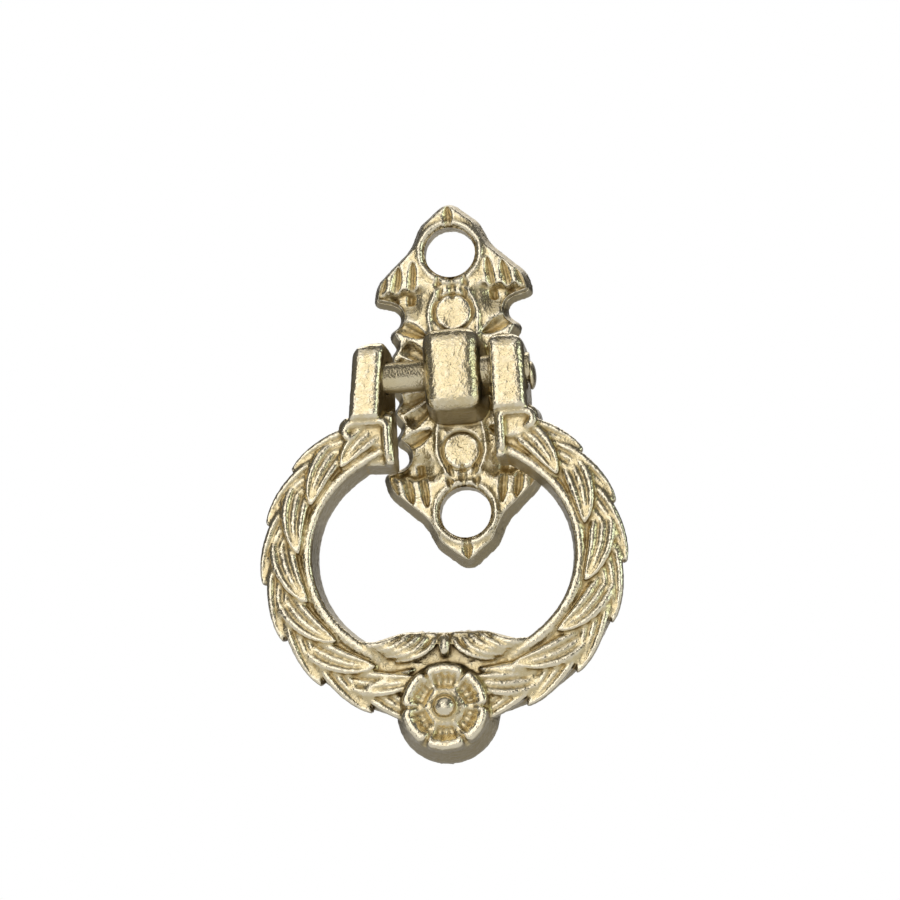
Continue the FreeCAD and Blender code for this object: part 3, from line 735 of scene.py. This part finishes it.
    def palmette(self):
        """Two wings of curled lobes with a bud between them, rising from the wreath's face."""
        base = -self.size.flower_drop
        face = self.face
        slab(self.bm, [(-8.0, base + 5.3, 1.0), (-5.5, base + 2.0, 2.0), (5.5, base + 2.0, 2.0),
                       (8.0, base + 5.3, 1.0), (7.0, base + 6.35, 1.0), (3.8, base + 7.3, 2.5),
                       (-3.8, base + 7.3, 2.5), (-7.0, base + 6.35, 1.0)],
             [(0, self.size.back), (0.2, face - 0.5), (0.45, face - 0.17)])
        for side in SIDES:
            wing = [(side * x, base + z, radius) for x, z, radius in
                    ((0.5, 7.2, 0.3), (0.75, 6.1, 1.0), (1.7, 5.1, 1.5), (3.4, 4.7, 2.0),
                     (6.6, 4.9, 1.5), (7.9, 5.5, 0.6), (7.0, 6.3, 1.0), (3.8, 7.25, 2.5))]
            slab(self.bm, wing if side > 0 else wing[::-1],
                 [(0, self.size.back), (0.1, face - 0.2), (0.3, face + 0.15)])
            rises = (-0.9, 0.05, 0.35, 0.4, 0.25, -0.1)
            for ridge in self.RIDGES:
                path = [at(side * x, base + z, face + rise) for (x, z), rise in zip(ridge, rises)]
                strand(self.bm, path, (0.26, 0.31, 0.33, 0.33, 0.31, 0.24))
        for path in self.RUNNERS:
            strand(self.bm, [at(x, base + z, face + 0.1) for x, z in path],
                   (0.12, 0.42, 0.58, 0.55, 0.4))
        strand(self.bm, [at(0, base + z, face + rise) for z, rise in
                         ((6.6, -0.2), (6.3, 0.2), (5.8, 0.4), (5.2, 0.35), (4.8, -0.1))],
               (0.35, 0.5, 0.56, 0.5, 0.35))

    def made(self):
        self.band()
        self.leaves()
        self.flower()
        self.palmette()
        bmesh.ops.rotate(self.bm, cent=(0, 0, 0), verts=self.bm.verts,
                         matrix=Matrix.Rotation(self.size.lean, 3, "Y"))
        return self.bm


def volute(bm, size, side):
    """Block under an ear, with a raised scroll that runs up its inner edge and curls over."""
    inner, wider = size.ear_gap / 2, 1.0 if side > 0 else 1.22
    outer = inner + 4.6 * wider
    face = size.back + size.thickness

    def own(corners):
        return corners if side > 0 else [(-x, z, r) for x, z, r in reversed(corners)]

    slab(bm, own([(inner, -8.8, 0.4), (outer - 0.8, -8.6, 1.3), (outer, -6.0, 2.0),
                  (outer - 0.2, -3.4, 1.3), (inner, -3.1, 0.4)]),
         [(0, size.back), (0.3, face - 0.25), (0.4, face - 0.1), (0.6, face)])
    slab(bm, own([(inner, -8.7, 0.4), (inner + 1.1, -8.5, 0.4), (inner + 1.1, -3.6, 0.3),
                  (inner, -3.6, 0.3)]),
         [(0, size.back), (0.05, face + 0.3), (0.15, face + 0.5), (0.3, face + 0.62)])
    slab(bm, own([(inner + 0.5, -6.9, 0.4), (outer - 0.8, -6.4, 0.8), (outer - 0.7, -3.9, 0.8),
                  (inner + 0.5, -3.8, 0.3)]),
         [(0, size.back), (0.05, face + 0.2), (0.2, face + 0.42)])
    path = [at(side * (inner + (x if x < 1 else x * wider)), z, face + rise) for x, z, rise in
            ((0.72, -8.1, 0.4), (0.72, -7.0, 0.5), (0.72, -5.6, 0.52), (0.76, -4.7, 0.52),
             (1.1, -4.35, 0.52), (2.0, -4.3, 0.52), (2.9, -4.32, 0.52), (3.55, -4.6, 0.5),
             (3.75, -5.2, 0.48), (3.45, -5.65, 0.45), (2.95, -5.6, 0.4))]
    strand(bm, path, (0.38,) + (0.42,) * 9 + (0.38,), steps=90)


def ear(size, side):
    """One drilled ear. The left one leans in towards its front and outwards below."""
    inner, outer = size.ear_gap / 2, size.ear_gap / 2 + size.ear_width
    half_depth = 2.6
    back, front = PIN_DEPTH - half_depth, PIN_DEPTH + half_depth
    lean = 0.45 if side < 0 else 0.0
    side_view = [(back, 3.2, 1.5), (back, -3.1, 1.5), (6.5, -4.8, 0.3), (front - 0.1, -4.0, 0.5),
                 (front, 3.2, 1.5)]
    plan = [(inner, back, 0.2), (outer, back, 0.4), (outer - 0.3, front, 0.95),
            (inner + lean, front, 0.75)]
    front_view = [(inner, -6, 0.3), (outer, -6, 0.3), (outer, 3.2, 2.0), (inner, 3.2, 1.0)]
    if side < 0:
        plan, front_view = ([(-u, v, r) for u, v, r in reversed(view)] for view in (plan, front_view))
    body = softened(turned_block(side_view, plan, front_view), 0.12, 32)
    if side < 0:
        for vert in body.verts:
            share = ramp(back, front, -vert.co.y)
            vert.co.x -= 0.13 * share * max(3.0 - vert.co.z, 0.0)
    return drilled(body, 2 * outer)


class HANDLE_OT_ring(bpy.types.Operator):
    """Makes the wreath ring with its flower, volutes and ears"""
    bl_idname = "handle.ring"
    bl_label = "Wreath ring"

    def execute(self, context):
        size = Millimetres(context.scene.handle_ring)
        ring = Wreath(size).made()
        for side in SIDES:
            volute(ring, size, side)
            add(ring, ear(size, side))
        passage = bmesh.new()
        spare = 0.14    # wider than the ears' gap on the right, where the post comes nearest
        place = (Matrix.Translation(at(spare / 2, -5.6, 6))
                 @ Matrix.Diagonal((size.ear_gap + spare, 20, 20, 1)))
        bmesh.ops.create_cube(passage, size=1, matrix=place)
        ring = softened(ring, 0.11, 1)
        ring = carved(ring, passage)
        bmesh.ops.translate(ring, verts=ring.verts, vec=(size.shift, 0, 0))
        obj = link("wreath_ring", ring)
        settle(obj, "REMESH", mode="VOXEL", voxel_size=0.11)
        settle(obj, "SMOOTH", factor=0.35, iterations=1)
        roughen(obj, LUMP_HEIGHT, 0.4, size.back)
        finish_piece(obj, RING_TRIANGLES, "pull_ring", "ring", size.back)
        return {"FINISHED"}


class Value:
    """A number that changes over the surface, as a socket with arithmetic."""

    def __init__(self, graph, socket):
        self.graph = graph
        self.socket = socket

    def _math(self, operation, *values):
        return self.graph.node("ShaderNodeMath", {"operation": operation}, *values)

    def __add__(self, other):
        return self._math("ADD", self, other)

    def __sub__(self, other):
        return self._math("SUBTRACT", self, other)

    def __rsub__(self, other):
        return self._math("SUBTRACT", other, self)

    def __mul__(self, other):
        return self._math("MULTIPLY", self, other)

    __radd__ = __add__

    def between(self, low, high):
        """0 below low, 1 above high and smooth in between."""
        return self.graph.node("ShaderNodeMapRange", {"interpolation_type": "SMOOTHSTEP"},
                               self, low, high, 0.0, 1.0)


class Graph:
    """Adds nodes to a node tree, each from its type, its settings and its inputs."""

    def __init__(self, tree):
        self.tree = tree
        tree.nodes.clear()

    def node(self, kind, settings=None, *values, output=None, **named):
        node = self.tree.nodes.new(kind)
        for key, value in (settings or {}).items():
            setattr(node, key, value)
        inputs = [socket for socket in node.inputs if socket.enabled]
        given = [(node.inputs[key], value) for key, value in named.items()]
        for socket, value in [*zip(inputs, values), *given]:
            if isinstance(value, Value):
                self.tree.links.new(value.socket, socket)
            elif value is not None:
                socket.default_value = value
        results = [socket for socket in node.outputs if socket.enabled]
        return Value(self, node.outputs[output] if output else results[0]) if results else None

    def blend(self, share, first, second):
        """Colour between two others."""
        return self.node("ShaderNodeMix", {"data_type": "RGBA"}, share, first, second)


def plated_metal():
    """Satin pale gold plating on a grainy casting, brighter on crests, partly as a painted highlight,
    and brown in hollows, partly as painted shade, with painted shade on its walls and in its sheltered
    corners.
    """
    found = bpy.data.materials.get("plated casting")
    if found:
        return found
    finish = bpy.context.scene.handle_finish
    material = bpy.data.materials.new("plated casting")
    material.use_nodes = True
    graph = Graph(material.node_tree)
    place = graph.node("ShaderNodeTexCoord", output="Object")
    relief = graph.node("ShaderNodeAttribute", {"attribute_name": "relief"}, output="Fac")
    cloud_scale, shelter_reach = 700.0, 0.0035
    clouds = graph.node("ShaderNodeTexNoise", {}, place, cloud_scale, 3.0, 0.55)
    speckle = graph.node("ShaderNodeTexNoise", {}, place, 1 / finish.grain, 1.0, 0.5)
    shelter = graph.node("ShaderNodeAmbientOcclusion", {"samples": 8, "only_local": True},
                         None, shelter_reach, output="AO")
    outward = graph.node("ShaderNodeTexCoord", output="Normal")
    facing = graph.node("ShaderNodeSeparateXYZ", {}, outward, output="Y")
    # Painted shade: surfaces that face neither the front nor the back are blended towards the dark side
    # colour, and made a little rougher.
    flank = 1 - (facing * facing + (clouds - 0.5) * 0.15).between(0.05, 0.40)
    # Partly real wear, partly painted highlight: points that stand over their surroundings get the pale
    # crest colour.
    worn_and_highlit = (relief + (clouds - 0.5) * 0.25).between(0.46, 0.72)
    # Partly painted shade: points that lie under their surroundings are turned towards the warm brown
    # recess colour, as in shaded hollows.
    sunk = 1 - (relief + (speckle - 0.5) * 0.2).between(0.18, 0.46)
    # Painted shade: ambient occlusion from the piece's own shape darkens its sheltered corners towards
    # the dark corner colour.
    hidden = 1 - (shelter + (clouds - 0.5) * 0.2).between(0.25, 0.8)
    metal = graph.blend(worn_and_highlit, (*finish.plating, 1.0), (*finish.crest, 1.0))
    metal = graph.blend(flank * 0.8, metal, (*finish.flank, 1.0))
    metal = graph.blend(sunk * 0.75, metal, (*finish.recess, 1.0))
    metal = graph.blend(hidden * 0.85, metal, (*finish.stain, 1.0))
    roughness = finish.roughness + (clouds - 0.5) * 0.18 + sunk * 0.16 + flank * 0.1 - worn_and_highlit * 0.06
    bump = graph.node("ShaderNodeBump", {}, Strength=1.0, Distance=finish.grain_height, Height=speckle)
    shader = graph.node("ShaderNodeBsdfPrincipled", {}, Metallic=1.0, Roughness=roughness, Normal=bump,
                        **{"Base Color": metal})
    graph.node("ShaderNodeOutputMaterial", {}, shader)
    return material


class HANDLE_OT_stage(bpy.types.Operator):
    """Sets up the floor, the backdrop, the lamps and the camera"""
    bl_idname = "handle.stage"
    bl_label = "Stage"

    def execute(self, context):
        stage = context.scene.handle_stage
        self.add_floor(stage)
        self.add_backdrop()
        self.add_world(context.scene, stage)
        self.add_lamp("key_lamp", (-0.15, -0.58, 0.0), 0.52, 0.86 * stage.key, (1.0, 0.97, 0.93))
        self.add_lamp("soft_lamp", (-0.11, -0.64, 0.46), 0.8, 1.2 * stage.key, (1.0, 0.97, 0.92))
        self.add_lamp("fill_lamp", (0.50, -0.24, 0.06), 0.25, 0.34 * stage.key, (0.86, 1.0, 0.84))
        self.add_lamp("ceiling_lamp", (0.1, 0.75, 0.95), 1.0, 6.0 * stage.key, (1.0, 0.98, 0.95))
        self.add_camera(context.scene, stage)
        context.scene.view_settings.view_transform = "Standard"
        return {"FINISHED"}

    def add_plane(self, name, size, place, shade):
        bm = bmesh.new()
        bmesh.ops.create_grid(bm, x_segments=1, y_segments=1, size=size / 2, matrix=place)
        obj = link(name, bm)
        material = bpy.data.materials.new(name)
        material.use_nodes = True
        shade(Graph(material.node_tree))
        obj.data.materials.append(material)

    def seen(self, graph):
        """1 where the camera sees a surface, straight or in metal or glass, and 0 for other light."""
        paths = [graph.node("ShaderNodeLightPath", output=name)
                 for name in ("Is Camera Ray", "Is Glossy Ray", "Is Transmission Ray")]
        return paths[0] + paths[1] + paths[2]

    def add_floor(self, stage):
        def shade(graph):
            place = graph.node("ShaderNodeTexCoord", output="Object")
            cloud = graph.node("ShaderNodeTexNoise", {}, place, 6.0)
            pale = graph.blend(cloud, (0.86, 0.86, 0.85, 1), (0.90, 0.90, 0.89, 1))
            paper = graph.node("ShaderNodeBsdfPrincipled", {}, Roughness=0.8, **{"Base Color": pale})
            white = graph.node("ShaderNodeEmission", {}, WHITE, 1.0)
            shader = graph.node("ShaderNodeMixShader", {}, self.seen(graph) * 0.3, paper, white)
            graph.node("ShaderNodeOutputMaterial", {}, shader)
        self.add_plane("floor", 4.0, Matrix.Translation((0, 0, stage.floor_depth)), shade)

    def add_backdrop(self):
        def shade(graph):
            card = graph.node("ShaderNodeBsdfDiffuse", {}, (0.8, 0.8, 0.8, 1))
            white = graph.node("ShaderNodeEmission", {}, WHITE, 1.0)
            shader = graph.node("ShaderNodeMixShader", {}, self.seen(graph), card, white)
            graph.node("ShaderNodeOutputMaterial", {}, shader)
        place = Matrix.Translation((0, 0.5, 0.06)) @ Matrix.Rotation(math.pi / 2, 4, "X")
        self.add_plane("backdrop", 0.4, place, shade)

    def add_world(self, scene, stage):
        world = bpy.data.worlds.new("room")
        scene.world = world
        world.use_nodes = True
        graph = Graph(world.node_tree)
        light = graph.node("ShaderNodeBackground", {}, (1.0, 0.97, 0.92, 1), stage.surround)
        graph.node("ShaderNodeOutputWorld", {}, light)

    def add_lamp(self, name, place, size, watts, tint):
        lamp = bpy.data.lights.new(name, "AREA")
        lamp.size = size
        lamp.energy = watts
        lamp.color = tint
        obj = bpy.data.objects.new(name, lamp)
        obj.location = place
        aim = Vector((0, 0, -0.01)) - obj.location
        obj.rotation_euler = aim.to_track_quat("-Z", "Y").to_euler()
        bpy.context.scene.collection.objects.link(obj)

    def add_camera(self, scene, stage):
        camera = bpy.data.objects.new("camera", bpy.data.cameras.new("camera"))
        camera.data.lens = stage.lens
        camera.data.sensor_width = 36
        camera.data.clip_start = 0.01
        back = Vector((math.sin(stage.azimuth) * math.cos(stage.elevation),
                       -math.cos(stage.azimuth) * math.cos(stage.elevation), math.sin(stage.elevation)))
        aim = Vector((stage.aim_x, 0, stage.aim_z))
        face = (-back).to_track_quat("-Z", "Y").to_matrix().to_4x4()
        camera.matrix_world = (Matrix.Translation(aim + back * stage.distance) @ face
                               @ Matrix.Rotation(stage.roll, 4, "Z"))
        scene.collection.objects.link(camera)
        scene.camera = camera


class HANDLE_PT_panel(bpy.types.Panel):
    """Lists the handle's pieces and its stage"""
    bl_idname = "HANDLE_PT_panel"
    bl_label = "Ring pull handle"
    bl_space_type = "VIEW_3D"
    bl_region_type = "UI"
    bl_category = "Handle"

    def draw(self, context):
        for operator in OPERATORS:
            self.layout.operator(operator.bl_idname)


SETTINGS = {
    "handle_backplate": BackplateSettings,
    "handle_pin": PinSettings,
    "handle_ring": RingSettings,
    "handle_finish": FinishSettings,
    "handle_stage": StageSettings,
}
OPERATORS = (HANDLE_OT_backplate, HANDLE_OT_pin, HANDLE_OT_ring, HANDLE_OT_stage)


def register():
    for name, group in SETTINGS.items():
        bpy.utils.register_class(group)
        setattr(bpy.types.Scene, name, bpy.props.PointerProperty(type=group))
    for kind in (*OPERATORS, HANDLE_PT_panel):
        bpy.utils.register_class(kind)


def unregister():
    for kind in (HANDLE_PT_panel, *reversed(OPERATORS)):
        bpy.utils.unregister_class(kind)
    for name, group in SETTINGS.items():
        delattr(bpy.types.Scene, name)
        bpy.utils.unregister_class(group)


def main():
    register()
    bpy.ops.handle.backplate()
    bpy.ops.handle.pin()
    bpy.ops.handle.ring()
    bpy.ops.handle.stage()


if __name__ == "__main__":
    main()
